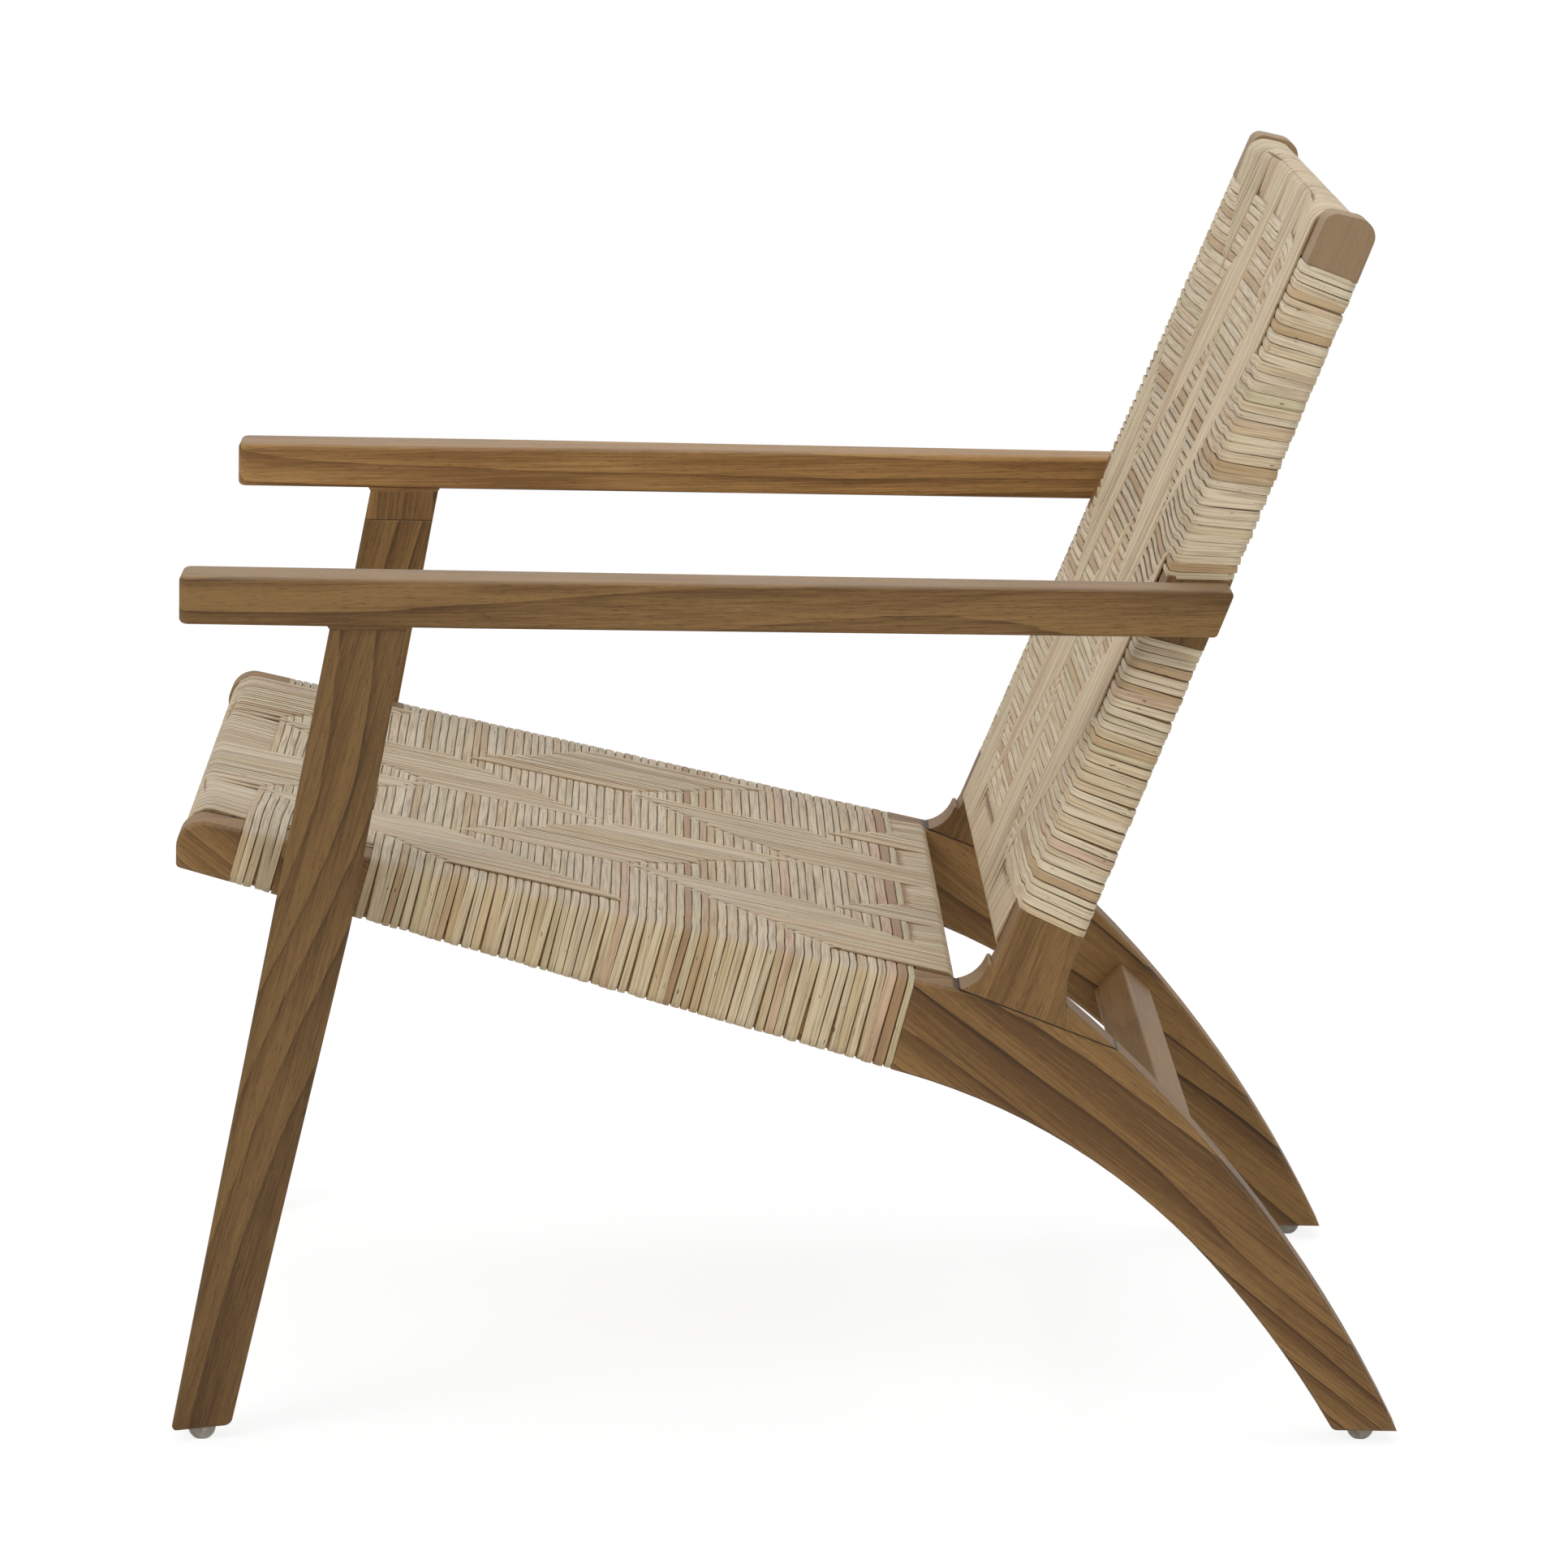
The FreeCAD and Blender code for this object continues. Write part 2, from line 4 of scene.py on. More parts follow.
import bpy
import numpy as np
from mathutils import Euler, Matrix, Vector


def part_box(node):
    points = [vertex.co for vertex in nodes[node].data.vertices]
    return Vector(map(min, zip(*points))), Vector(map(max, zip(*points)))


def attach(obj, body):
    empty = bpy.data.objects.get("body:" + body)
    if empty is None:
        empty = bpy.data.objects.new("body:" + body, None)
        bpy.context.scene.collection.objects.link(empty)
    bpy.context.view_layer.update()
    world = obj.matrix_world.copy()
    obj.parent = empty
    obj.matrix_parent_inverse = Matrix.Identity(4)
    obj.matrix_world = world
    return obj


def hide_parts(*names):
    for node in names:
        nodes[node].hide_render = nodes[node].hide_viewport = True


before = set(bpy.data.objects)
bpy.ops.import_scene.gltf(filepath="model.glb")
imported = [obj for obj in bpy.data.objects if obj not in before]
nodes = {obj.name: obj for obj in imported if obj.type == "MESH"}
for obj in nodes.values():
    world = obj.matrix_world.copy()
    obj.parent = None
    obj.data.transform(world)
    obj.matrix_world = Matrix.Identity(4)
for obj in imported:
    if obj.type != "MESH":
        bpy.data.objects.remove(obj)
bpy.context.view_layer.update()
print("frame loaded:", len(nodes), "nodes")

# Low lounge armchair: brown hardwood frame, seat and back wound and woven in split rattan.
# Weave measures are millimetres (x across, y to the rear, z up), turned to metres as meshes are made.


def tint(red, green, blue):  # screen colour, 0 to 255, as linear values
    return tuple(((c / 255 + 0.055) / 1.055) ** 2.4 for c in (red, green, blue)) + (1.0,)


def place(tree, kind, at, sockets=None, **settings):
    node = tree.nodes.new(kind)
    node.location = at
    for name, value in settings.items():
        setattr(node, name, value)
    for name, value in (sockets or {}).items():
        if isinstance(value, bpy.types.NodeSocket):
            tree.links.new(value, node.inputs[name])
        else:
            node.inputs[name].default_value = value
    return node


def ramp(tree, at, factor, stops, interpolation="LINEAR"):
    node = place(tree, "ShaderNodeValToRGB", at, {"Fac": factor})
    elements = node.color_ramp.elements
    node.color_ramp.interpolation = interpolation
    while len(elements) < len(stops):
        elements.new(0.5)
    for element, (position, colour) in zip(elements, stops):
        element.position = position
        element.color = colour if len(colour) == 4 else tuple(colour) + (1.0,)
    return node.outputs["Color"]


def grey(value):
    return (value, value, value, 1.0)


def maths(tree, at, operation, first, second=0.0, third=None, clamp=False):
    node = place(tree, "ShaderNodeMath", at, {0: first, 1: second}, operation=operation, use_clamp=clamp)
    if third is not None:
        node.inputs[2].default_value = third
    return node.outputs[0]


def mixColour(tree, at, factor, first, second, blend="MIX"):
    node = place(tree, "ShaderNodeMix", at, data_type="RGBA", blend_type=blend)
    for socket, value in (("Factor_Float", factor), ("A_Color", first), ("B_Color", second)):
        target = next(s for s in node.inputs if s.identifier == socket)
        if isinstance(value, bpy.types.NodeSocket):
            tree.links.new(value, target)
        else:
            target.default_value = value
    return next(s for s in node.outputs if s.identifier == "Result_Color")


def groupWith(name, inputs, outputs):
    tree = bpy.data.node_groups.new(name, "ShaderNodeTree")
    for label, kind, value in inputs:
        socket = tree.interface.new_socket(name=label, in_out="INPUT", socket_type=kind)
        if value is not None:
            socket.default_value = value
    for label, kind in outputs:
        tree.interface.new_socket(name=label, in_out="OUTPUT", socket_type=kind)
    start = place(tree, "NodeGroupInput", (-1400, 0))
    end = place(tree, "NodeGroupOutput", (900, 0))
    return tree, start, end


colourSocket, floatSocket, vectorSocket = "NodeSocketColor", "NodeSocketFloat", "NodeSocketVector"


# Wood grain, shared by every timber piece. It runs along the vector's Y.
woodTints = dict(Light=tint(149, 114, 69), Middle=tint(104, 74, 41), Dark=tint(52, 33, 17))


def makeGrain():
    tree, start, end = groupWith(
        "woodGrain",
        [("Vector", vectorSocket, None), ("Seed", floatSocket, 0.0), ("Streaks", floatSocket, 0.5),
         ("Figure", floatSocket, 0.5), ("Light", colourSocket, woodTints["Light"]),
         ("Middle", colourSocket, woodTints["Middle"]), ("Dark", colourSocket, woodTints["Dark"])],
        [("Color", colourSocket), ("Roughness", floatSocket), ("Height", floatSocket)])
    seed = place(tree, "ShaderNodeCombineXYZ", (-1200, -200),
                 {"X": start.outputs["Seed"], "Z": start.outputs["Seed"]})
    moved = place(tree, "ShaderNodeVectorMath", (-1000, 0),
                  {0: start.outputs["Vector"], 1: seed.outputs[0]}, operation="ADD").outputs[0]

    def stretched(at, along, scale, detail, distortion=0.0):
        flat = place(tree, "ShaderNodeVectorMath", (at[0] - 200, at[1]), {0: moved, 1: (1.0, along, 1.0)},
                     operation="MULTIPLY").outputs[0]
        return place(tree, "ShaderNodeTexNoise", at, {"Vector": flat, "Scale": scale, "Detail": detail,
                                                      "Roughness": 0.6, "Distortion": distortion}).outputs["Fac"]

    broad = stretched((-700, 400), 0.12, 16.0, 3.0, 0.4)
    bands = stretched((-700, 150), 0.03, 150.0, 3.0, 0.2)
    fibre = stretched((-700, -100), 0.016, 900.0, 3.0)
    pores = stretched((-700, -350), 0.05, 2100.0, 2.0)
    sweep = stretched((-700, -600), 0.2, 7.0, 1.5, 0.3)
    patches = stretched((-700, -850), 0.1, 20.0, 2.0)
    split = place(tree, "ShaderNodeSeparateXYZ", (-700, -1100), {0: start.outputs["Vector"]})
    # growth lines: a saw wave that darkens slowly and ends sharply, bent by slow noise
    lines = maths(tree, (-450, -1100), "ADD", maths(tree, (-600, -1100), "MULTIPLY", split.outputs["Z"], 44.0),
                  maths(tree, (-600, -1200), "MULTIPLY", split.outputs["X"], 21.0))
    lines = maths(tree, (-300, -1000), "ADD", lines, maths(tree, (-450, -900), "MULTIPLY", sweep, 7.0))
    lines = maths(tree, (-150, -1000), "ADD", lines, maths(tree, (-300, -900), "MULTIPLY", bands, 0.22))
    saw = maths(tree, (0, -1000), "FRACT", lines)
    thin = ramp(tree, (150, -1000), saw, [(0.0, grey(0.5)), (0.025, grey(0)), (0.55, grey(0)),
                                          (0.86, grey(0.22)), (0.97, grey(1)), (1.0, grey(0.9))])
    strong = ramp(tree, (-450, -850), patches, [(0.38, grey(0.12)), (0.62, grey(1))])
    thin = maths(tree, (450, -900), "MULTIPLY", thin, strong)
    thin = maths(tree, (600, -900), "MULTIPLY", thin, start.outputs["Streaks"])

    tone = maths(tree, (-300, 300), "MULTIPLY", broad, 0.95)
    tone = maths(tree, (-150, 300), "ADD", tone, maths(tree, (-450, 150), "MULTIPLY", bands, 0.42))
    figure = maths(tree, (-450, 0), "SUBTRACT", saw, 0.5)
    figure = maths(tree, (-300, 0), "MULTIPLY", figure, start.outputs["Figure"])
    tone = maths(tree, (0, 300), "SUBTRACT", tone, maths(tree, (-150, 0), "MULTIPLY", figure, 0.5))
    tone = maths(tree, (100, 300), "ADD", tone, maths(tree, (-300, -150), "MULTIPLY", fibre, 0.85))
    tone = maths(tree, (200, 300), "MULTIPLY", tone, 0.6, clamp=True)
    mask = ramp(tree, (350, 300), tone, [(0.54, grey(0)), (0.80, grey(1))])
    light = mixColour(tree, (500, 300), mask, start.outputs["Middle"], start.outputs["Light"])
    colour = mixColour(tree, (650, 200), maths(tree, (500, 0), "MULTIPLY", thin, 0.95), light,
                       start.outputs["Dark"])
    poreMask = ramp(tree, (-450, -350), pores, [(0.56, grey(0)), (0.7, grey(1))])
    poreMask = maths(tree, (-150, -350), "MULTIPLY", poreMask, 0.5)
    colour = mixColour(tree, (750, 100), poreMask, colour, start.outputs["Dark"])
    tree.links.new(colour, end.inputs["Color"])
    tree.links.new(maths(tree, (500, -200), "MULTIPLY_ADD", mask, 0.1, 0.52), end.inputs["Roughness"])
    height = maths(tree, (500, -400), "SUBTRACT", maths(tree, (300, -300), "MULTIPLY", fibre, 0.8), poreMask)
    height = maths(tree, (650, -400), "SUBTRACT", height, maths(tree, (500, -500), "MULTIPLY", thin, 0.5))
    tree.links.new(height, end.inputs["Height"])
    return tree


# Painted highlight along the arrises, where the surface turns within the radius, and the rounded normal there.
def makeEdges():
    tree, start, end = groupWith("arrisHighlightAndBevel", [("Radius", floatSocket, 0.002), ("Seed", floatSocket, 0.0)],
                                 [("Mask", floatSocket), ("Normal", vectorSocket)])
    bevel = place(tree, "ShaderNodeBevel", (-1000, 100), {"Radius": start.outputs["Radius"]}, samples=4).outputs[0]
    facing = place(tree, "ShaderNodeNewGeometry", (-1000, -100))
    turn = place(tree, "ShaderNodeVectorMath", (-800, 0), {0: bevel, 1: facing.outputs["True Normal"]},
                 operation="DOT_PRODUCT").outputs["Value"]
    turned = ramp(tree, (-550, 0), turn, [(0.9, grey(1)), (0.985, grey(0))])
    spot = place(tree, "ShaderNodeCombineXYZ", (-1000, -400), {"X": start.outputs["Seed"]}).outputs[0]
    spot = place(tree, "ShaderNodeVectorMath", (-800, -400), {0: facing.outputs["Position"], 1: spot},
                 operation="ADD").outputs[0]
    patchy = place(tree, "ShaderNodeTexNoise", (-600, -300), {"Vector": spot, "Scale": 55.0, "Detail": 3.0})
    patchy = ramp(tree, (-350, -300), patchy.outputs["Fac"], [(0.3, grey(0.25)), (0.62, grey(1))])
    tree.links.new(maths(tree, (0, 0), "MULTIPLY", turned, patchy), end.inputs["Mask"])
    tree.links.new(bevel, end.inputs["Normal"])
    return tree


# Painted sheen: faces that look up are painted paler and greyer, as light from above makes them look.
def makeSheen():
    tree, start, end = groupWith("upwardSheen", [("Amount", floatSocket, 0.6), ("Seed", floatSocket, 0.0)],
                                 [("Mask", floatSocket)])
    facing = place(tree, "ShaderNodeNewGeometry", (-1000, 0))
    up = place(tree, "ShaderNodeSeparateXYZ", (-800, 0), {0: facing.outputs["Normal"]}).outputs["Z"]
    up = ramp(tree, (-600, 0), up, [(0.35, grey(0)), (0.93, grey(1))])
    spot = place(tree, "ShaderNodeCombineXYZ", (-1000, -300), {"Z": start.outputs["Seed"]}).outputs[0]
    spot = place(tree, "ShaderNodeVectorMath", (-800, -300), {0: facing.outputs["Position"], 1: spot},
                 operation="ADD").outputs[0]
    cloud = place(tree, "ShaderNodeTexNoise", (-600, -300), {"Vector": spot, "Scale": 14.0, "Detail": 4.0})
    cloud = ramp(tree, (-350, -300), cloud.outputs["Fac"], [(0.3, grey(0.7)), (0.7, grey(1))])
    amount = maths(tree, (0, 0), "MULTIPLY", up, start.outputs["Amount"])
    tree.links.new(maths(tree, (200, 0), "MULTIPLY", amount, cloud), end.inputs["Mask"])
    return tree


woodGrain, arrisHighlightAndBevel, upwardSheen = makeGrain(), makeEdges(), makeSheen()


def newMaterial(name):
    material = bpy.data.materials.new(name)
    material.use_nodes = True
    tree = material.node_tree
    tree.nodes.clear()
    shader = place(tree, "ShaderNodeBsdfPrincipled", (1100, 0))
    output = place(tree, "ShaderNodeOutputMaterial", (1400, 0))
    tree.links.new(shader.outputs[0], output.inputs[0])
    return material, tree, shader


def useGroup(tree, group, at, sockets):
    return place(tree, "ShaderNodeGroup", at, sockets, node_tree=group)


# grain: angle of the fibres in the side view, in degrees, and None runs them across the chair
# seam: lean and height, in metres, of the plane of a tight joint
# and the height, in metres, above which the bare cap of a post turns paler
timber = {
    "sideBoard": dict(pieces=("left_side_board", "right_side_board"), grain=-38.0, streaks=0.95, figure=0.5, topSheen=0.4,
                      seam=(0.3573, 0.30355)),
    "backPost": dict(pieces=("left_back_post", "right_back_post"), grain=68.5, streaks=0.2, figure=0.2, topSheen=0.5,
                     seam=(0.3573, 0.30355), palerAbove=0.66),
    "frontLeg": dict(pieces=("left_front_leg", "right_front_leg"), grain=75.0, streaks=0.6, figure=0.6, topSheen=0.5),
    "cheek": dict(pieces=("left_leg_cheek", "right_leg_cheek"), grain=84.0, streaks=0.5, figure=0.3, topSheen=0.5,
                  seam=(0.0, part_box("left_leg_cheek")[0].z)),
    "armBoard": dict(pieces=("left_arm", "right_arm"), grain=1.6, streaks=0.6, figure=0.5, topSheen=0.75),
    "crossRail": dict(pieces=("front_seat_rail", "rear_seat_rail", "back_bottom_rail", "back_top_rail",
                              "rear_stretcher"), grain=None, streaks=0.4, figure=0.3, topSheen=0.6),
}


# the boards differ in how light their brown is
shades = {"others": 0.94, "left_arm": 0.84, "right_arm": 1.48, "left_front_leg": 0.66, "right_front_leg": 0.8,
          "left_back_post": 0.8, "right_back_post": 0.84, "rear_stretcher": 1.12}
# painted highlight on arrises, painted sheen on faces that look up, dark joint lines and paler post caps
marksAndSheen = dict(sheenColour=tint(150, 130, 106), sheenShare=0.72, highlightColour=tint(168, 142, 108), highlightShare=0.45,
                  arrisWidth=0.0016, seam=tint(34, 22, 13), paleCap=tint(166, 144, 116), paleCapShare=0.5)


def woodMaterial(piece, facts, seed):
    material, tree, shader = newMaterial(piece)
    shade = shades.get(piece, shades["others"])
    browns = {name: tuple(part * shade for part in brown[:3]) + (1.0,) for name, brown in woodTints.items()}
    where = place(tree, "ShaderNodeTexCoord", (-900, 0)).outputs["Object"]
    turn = (0.0, 0.0, pi / 2) if facts["grain"] is None else (-radians(facts["grain"]), 0.0, 0.0)
    turned = place(tree, "ShaderNodeMapping", (-700, 0), {"Vector": where, "Rotation": turn,
                                                          "Location": (seed * 0.37, seed * 0.53, seed * 0.71)})
    grain = useGroup(tree, woodGrain, (-450, 100), {"Vector": turned.outputs[0], "Seed": seed * 1.7,
                                                    "Streaks": facts["streaks"], "Figure": facts["figure"], **browns})
    edges = useGroup(tree, arrisHighlightAndBevel, (-450, -250), {"Radius": marksAndSheen["arrisWidth"], "Seed": seed})
    sheenMask = useGroup(tree, upwardSheen, (-450, -450), {"Amount": facts["topSheen"], "Seed": seed})
    # painted sheen of the light from above on faces that look up
    sheenColour = mixColour(tree, (-100, 0), marksAndSheen["sheenShare"], grain.outputs["Color"], marksAndSheen["sheenColour"])
    colour = mixColour(tree, (150, 100), sheenMask.outputs["Mask"], grain.outputs["Color"], sheenColour)
    # painted highlight: the arrises are painted lighter where light would catch them
    paintedHighlight = maths(tree, (150, -200), "MULTIPLY", edges.outputs["Mask"], marksAndSheen["highlightShare"])
    colour = mixColour(tree, (400, 100), paintedHighlight, colour, marksAndSheen["highlightColour"])
    if facts.get("seam"):  # a tight joint shows as a dark line less than a millimetre wide
        turn, level = facts["seam"]
        off = place(tree, "ShaderNodeVectorMath", (150, 400), {0: where, 1: (0.0, sin(turn), cos(turn))},
                    operation="DOT_PRODUCT").outputs["Value"]
        off = maths(tree, (300, 400), "ABSOLUTE", maths(tree, (220, 400), "SUBTRACT", off, level))
        off = maths(tree, (380, 400), "MULTIPLY", off, 1000.0)
        line = ramp(tree, (450, 400), off, [(0.3, grey(0.85)), (0.75, grey(0))])
        colour = mixColour(tree, (600, 200), line, colour, marksAndSheen["seam"])
    # the bare cap of a post turns paler towards the top
    if facts.get("palerAbove"):
        height = place(tree, "ShaderNodeSeparateXYZ", (300, 600), {0: where}).outputs["Z"]
        cap = ramp(tree, (450, 600), height, [(facts["palerAbove"], grey(0)),
                                              (facts["palerAbove"] + 0.05, grey(marksAndSheen["paleCapShare"]))])
        colour = mixColour(tree, (650, 300), cap, colour, marksAndSheen["paleCap"])
    bump = place(tree, "ShaderNodeBump", (700, -300), {"Height": grain.outputs["Height"], "Strength": 0.35,
                                                       "Distance": 0.0006, "Normal": edges.outputs["Normal"]})
    tree.links.new(colour, shader.inputs["Base Color"])
    tree.links.new(grain.outputs["Roughness"], shader.inputs["Roughness"])
    tree.links.new(bump.outputs[0], shader.inputs["Normal"])
    shader.inputs["Specular IOR Level"].default_value = 0.22
    return material


def dress(name, material):
    piece = nodes[name]
    piece.data.materials.clear()
    piece.data.materials.append(material)


seed = 1.0
for facts in timber.values():
    for name in facts["pieces"]:
        dress(name, woodMaterial(name, facts, seed))
        seed += 1.0
print("timber dressed")


# Rattan: fibre lines along each strand, a tone of its own, and painted shade at the edges where strands meet.
rattanTints = dict(tones=((0.0, tint(170, 144, 110)), (0.1, tint(196, 178, 148)), (0.3, tint(206, 194, 170)),
                          (0.55, tint(212, 202, 180)), (0.78, tint(200, 191, 172)), (0.88, tint(190, 184, 154)),
                          (0.95, tint(202, 178, 158)), (1.0, tint(148, 116, 86))),
                   drift=tint(182, 160, 128), groove=tint(130, 106, 80), spot=tint(104, 74, 48),
                   gapShade=tint(84, 64, 42), sheenTint=tint(236, 236, 240))


def makeFibre():
    tree, start, end = groupWith(
        "rattanFibre",
        [("Strand", vectorSocket, None), ("Tone", floatSocket, 0.5), ("Mark", floatSocket, 0.3),
         ("EdgeShade", floatSocket, 0.7)],
        [("Color", colourSocket), ("Roughness", floatSocket), ("Height", floatSocket)])

    def noise(at, scales, detail):
        flat = place(tree, "ShaderNodeVectorMath", (at[0] - 200, at[1]), {0: start.outputs["Strand"], 1: scales},
                     operation="MULTIPLY").outputs[0]
        return place(tree, "ShaderNodeTexNoise", at, {"Vector": flat, "Scale": 1.0, "Detail": detail,
                                                      "Roughness": 0.6}).outputs["Fac"]

    lines = noise((-900, 300), (22.0, 900.0, 3.1), 3.0)
    fine = noise((-900, 50), (60.0, 2600.0, 3.1), 2.0)
    drift = noise((-900, -200), (7.0, 40.0, 5.3), 2.0)
    specks = noise((-900, -450), (140.0, 500.0, 9.7), 1.0)
    tones = ramp(tree, (-500, 500), start.outputs["Tone"], rattanTints["tones"])
    colour = mixColour(tree, (-200, 400), maths(tree, (-400, 250), "MULTIPLY", drift, 0.45), tones,
                       rattanTints["drift"])
    groove = ramp(tree, (-600, 150), lines, [(0.34, grey(1)), (0.56, grey(0))])
    colour = mixColour(tree, (0, 300), maths(tree, (-200, 150), "MULTIPLY", groove, 0.62), colour,
                       rattanTints["groove"])
    spot = ramp(tree, (-600, -450), specks, [(0.71, grey(0)), (0.78, grey(1))])
    spot = maths(tree, (-200, -400), "MULTIPLY", spot, start.outputs["Mark"])
    colour = mixColour(tree, (200, 200), spot, colour, rattanTints["spot"])
    # painted shade along both edges of each strand, where it meets the next
    across = place(tree, "ShaderNodeSeparateXYZ", (-900, -700), {0: start.outputs["Strand"]}).outputs["Y"]
    gapShade = maths(tree, (-600, -700), "MULTIPLY", maths(tree, (-700, -700), "ABSOLUTE", across), 200.0)
    gapShade = ramp(tree, (-500, -700), gapShade, [(0.46, grey(0)), (0.56, grey(1))])
    gapShade = maths(tree, (0, -600), "MULTIPLY", gapShade, start.outputs["EdgeShade"])
    colour = mixColour(tree, (400, 100), gapShade, colour, rattanTints["gapShade"])
    tree.links.new(colour, end.inputs["Color"])
    tree.links.new(maths(tree, (400, -200), "MULTIPLY_ADD", lines, 0.2, 0.5), end.inputs["Roughness"])
    height = maths(tree, (200, -300), "ADD", maths(tree, (0, -250), "MULTIPLY", fine, 0.35), lines)
    tree.links.new(height, end.inputs["Height"])
    return tree


rattanFibre = makeFibre()


# warm stains the strands; the next share is how far faces that look up lose that stain to a painted sheen of the
# light from above, and edge is how dark the painted shade is where strands meet
rattanFacts = {
    "rattanSeat": dict(warm=(1.02, 0.95, 0.81, 1.0), topSheen=0.9, edge=0.75, mark=0.8),
    "rattanBack": dict(warm=(1.14, 1.10, 1.02, 1.0), topSheen=0.45, edge=0.52, mark=0.8),
}


def rattanMaterial(name):
    facts = rattanFacts[name]
    material, tree, shader = newMaterial(name)
    strand = place(tree, "ShaderNodeAttribute", (-900, 0), attribute_name="strandSpace").outputs["Vector"]
    tone = place(tree, "ShaderNodeAttribute", (-900, -250), attribute_name="strandTone").outputs["Fac"]
    fibre = useGroup(tree, rattanFibre, (-500, 0), {"Strand": strand, "Tone": tone, "Mark": facts["mark"],
                                                    "EdgeShade": facts["edge"]})
    sheenMask = useGroup(tree, upwardSheen, (-500, -300), {"Amount": facts["topSheen"], "Seed": 3.0})
    warm = mixColour(tree, (-100, 100), 1.0, fibre.outputs["Color"], facts["warm"], "MULTIPLY")
    # painted sheen: faces that look up lose the warm stain and turn cool grey
    sheenedColour = mixColour(tree, (-100, -150), 1.0, fibre.outputs["Color"], rattanTints["sheenTint"],
                     "MULTIPLY")
    colour = mixColour(tree, (200, 0), sheenMask.outputs["Mask"], warm, sheenedColour)
    bump = place(tree, "ShaderNodeBump", (700, -300), {"Height": fibre.outputs["Height"], "Strength": 0.5,
                                                       "Distance": 0.0004})
    tree.links.new(colour, shader.inputs["Base Color"])
    tree.links.new(fibre.outputs["Roughness"], shader.inputs["Roughness"])
    tree.links.new(bump.outputs[0], shader.inputs["Normal"])
    shader.inputs["Specular IOR Level"].default_value = 0.3
    return material


# Strands: profile points are shares of the width, crown points are shares of the thickness.
strandFacts = dict(thickness=1.55, pitch=5.6, gap=0.1, wobble=0.24, widthSpread=0.24, rise=0.06, roll=4.0,
                   profile=(-0.5, -0.455, 0.0, 0.455, 0.5), crown=(-0.42, 0.34, 0.5, 0.34, -0.42))
# The field between the sides. Shoulders are where a wound weft leaves the last warp and lies flat on the board.
fieldFacts = dict(halfBoards=278.0, halfInner=243.4, halfWarps=243.0, warps=87, over=1.6, corner=6.3,
                  shoulders=(247.5, 256.0), hollow=7.2, hollowFlat=100.0, hollowEnd=225.0, hollowFade=6.0)
# Seat wraps: from y, to y, how many wefts, and whether they wind round the boards.
seatFacts = dict(tipTop=387.7, tipUnder=355.4, topSlope=-0.2106, underSlope=-0.2734, tipY=-380.5, tilt=radians(14.0),
                 wraps=((-340.0, -314.0, 5, True), (-314.0, -261.5, 9, False), (-261.5, 74.0, 60, True)),
                 frontY=-375.9, rearY=97.9, lift=0.818, frontHeight=27.0, rearHeight=30.0,
                 radii=(7.0, 13.0, 5.0, 5.0), tightening=0.95, cornerSpread=(-0.5, 0.9), slant=1.2)
# Back wraps: the front and rear points (y, z) of the first weft, those of the last, and the same two as above.
backFacts = dict(frontFoot=(123.5, 303.0), frontSlope=2.46, rearFoot=(171.8, 307.3), rearSlope=2.626,
                 wraps=((((133.0, 339.0), (176.5, 319.5)), ((202.0, 510.0), (245.0, 499.5)), 34, True),
                        (((202.0, 510.0), (245.0, 499.5)), ((218.0, 543.6), (264.0, 542.6)), 6, False),
                        (((218.0, 543.6), (264.0, 542.6)), ((299.5, 738.0), (331.6, 725.6)), 36, True)),
                 core=((124.36, 307.25), (310.85, 766.0), (341.46, 759.57), (163.37, 291.91)),
                 crownSlope=-0.21, radii=(5.0, 10.0, 12.0, 5.0), tightening=0.6, cornerSpread=(0.4, 1.6), slant=1.0)
# Figured twill: blocks of warp and blocks of weft, 22 warps deep, that lean one way and then the other.
pattern = dict(firstTurn=18, lastTurn=62, depth=22, repeat=43, block=20.6, lean=0.89, falling=43.0, rising=41.0)
acrossChair = np.array([1.0, 0.0, 0.0])
toMetres = 0.001


def warpOver(warp, weft):
    rows = (warp - pattern["firstTurn"]) % (2 * pattern["depth"])
    if rows < pattern["depth"] or warp >= pattern["lastTurn"]:
        edge = pattern["falling"] + pattern["lean"] * rows
    else:
        edge = pattern["rising"] - pattern["lean"] * (rows - pattern["depth"])
    return (weft - edge) % pattern["repeat"] < pattern["block"]


def unevenSteps(start, end, count, chance):  # edges of strands of unequal widths
    spread = strandFacts["widthSpread"]
    widths = [1.0 + chance.uniform(-spread, spread) for _ in range(count)]
    total, edges = sum(widths), [start]
    for width in widths:
        edges.append(edges[-1] + (end - start) * width / total)
    return edges


def strandWidths(edges):  # middle and width of each strand
    pairs = list(zip(edges, edges[1:]))
    return [(a + b) / 2 for a, b in pairs], [b - a - strandFacts["gap"] for a, b in pairs]


